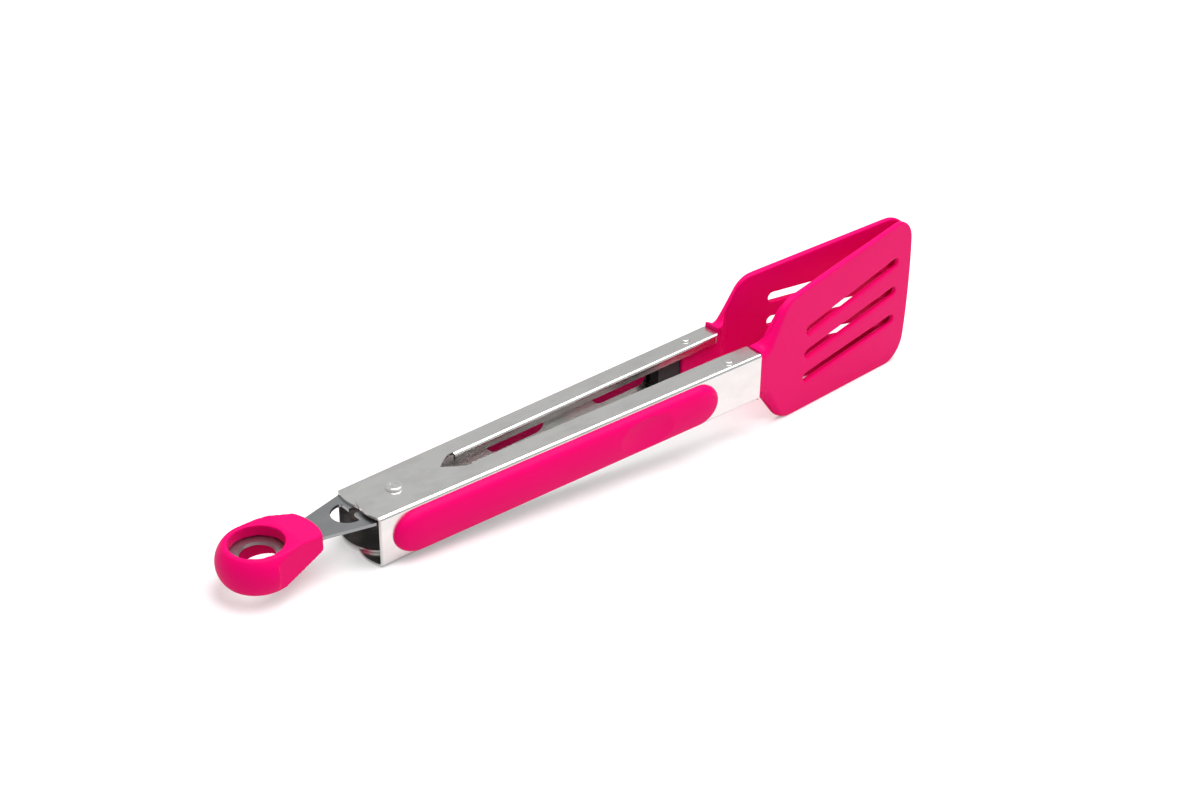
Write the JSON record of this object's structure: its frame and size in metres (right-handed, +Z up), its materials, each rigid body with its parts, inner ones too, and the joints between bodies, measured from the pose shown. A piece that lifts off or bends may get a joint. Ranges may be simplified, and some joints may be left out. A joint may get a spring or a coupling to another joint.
{
  "type": "locking kitchen tongs",
  "caption": "Spring-loaded locking kitchen tongs: folded steel channel arms, soft side grips, slotted turner heads and a pull-tab lock with a hanging loop.",
  "frame": {"origin": "middle of the footprint, on the surface the closed tongs lie on", "axes": "+X along the tongs towards the heads, +Z up, the outer (near) arm on the -Y side; the pivot axis leans 4.9 degrees from +Z in the XZ plane"},
  "size_m": [0.3322, 0.0398, 0.0654],
  "materials": {
    "steel_outer": "fine lengthwise brushed stainless sheet",
    "steel_inner": "fine lengthwise brushed stainless sheet",
    "grip_pink": "smooth satin silicone",
    "head_pink": "smooth satin silicone",
    "loop_pink": "smooth satin silicone",
    "nylon_core": "moulded black nylon",
    "sleeve_nylon": "natural nylon tube",
    "rivet_steel": "bright formed stainless",
    "spring_wire": "drawn spring wire",
    "plate_steel": "satin stainless plate"
  },
  "bodies": {
    "pivot": {"pivot_rivet": "rivet_steel", "pivot_sleeve": "sleeve_nylon", "torsion_spring": "spring_wire"},
    "near_arm": {"near_arm_channel": "steel_outer", "near_grip": "grip_pink", "near_head_core": "nylon_core", "near_head_skin": "head_pink", "near_head_rivet": "rivet_steel"},
    "far_arm": {"far_arm_channel": "steel_inner", "far_grip": "grip_pink", "far_head_core": "nylon_core", "far_head_skin": "head_pink", "far_head_rivet": "rivet_steel"},
    "pull_tab": {"pull_plate": "plate_steel", "pull_loop": "loop_pink"}
  },
  "joints": [
    {"name": "near_arm_hinge", "type": "hinge", "parent": "pivot", "child": "near_arm", "pos_m": [-0.09614, 0, 0.01148], "axis": [0.0848, 0, -0.9964], "range_deg": [0, 12]},
    {"name": "far_arm_hinge", "type": "hinge", "parent": "pivot", "child": "far_arm", "pos_m": [-0.09614, 0, 0.01148], "axis": [-0.0848, 0, 0.9964], "range_deg": [0, 12]},
    {"name": "pull_tab_slide", "type": "slide", "parent": "pivot", "child": "pull_tab", "axis": [0.9964, 0, 0.0848], "range_m": [0, 0.015]}
  ],
  "couplings": [
    {"joint": "far_arm_hinge", "follows": "near_arm_hinge", "ratio": 1},
    {"joint": "pull_tab_slide", "follows": "near_arm_hinge", "m_per_rad": 0.07158}
  ]
}
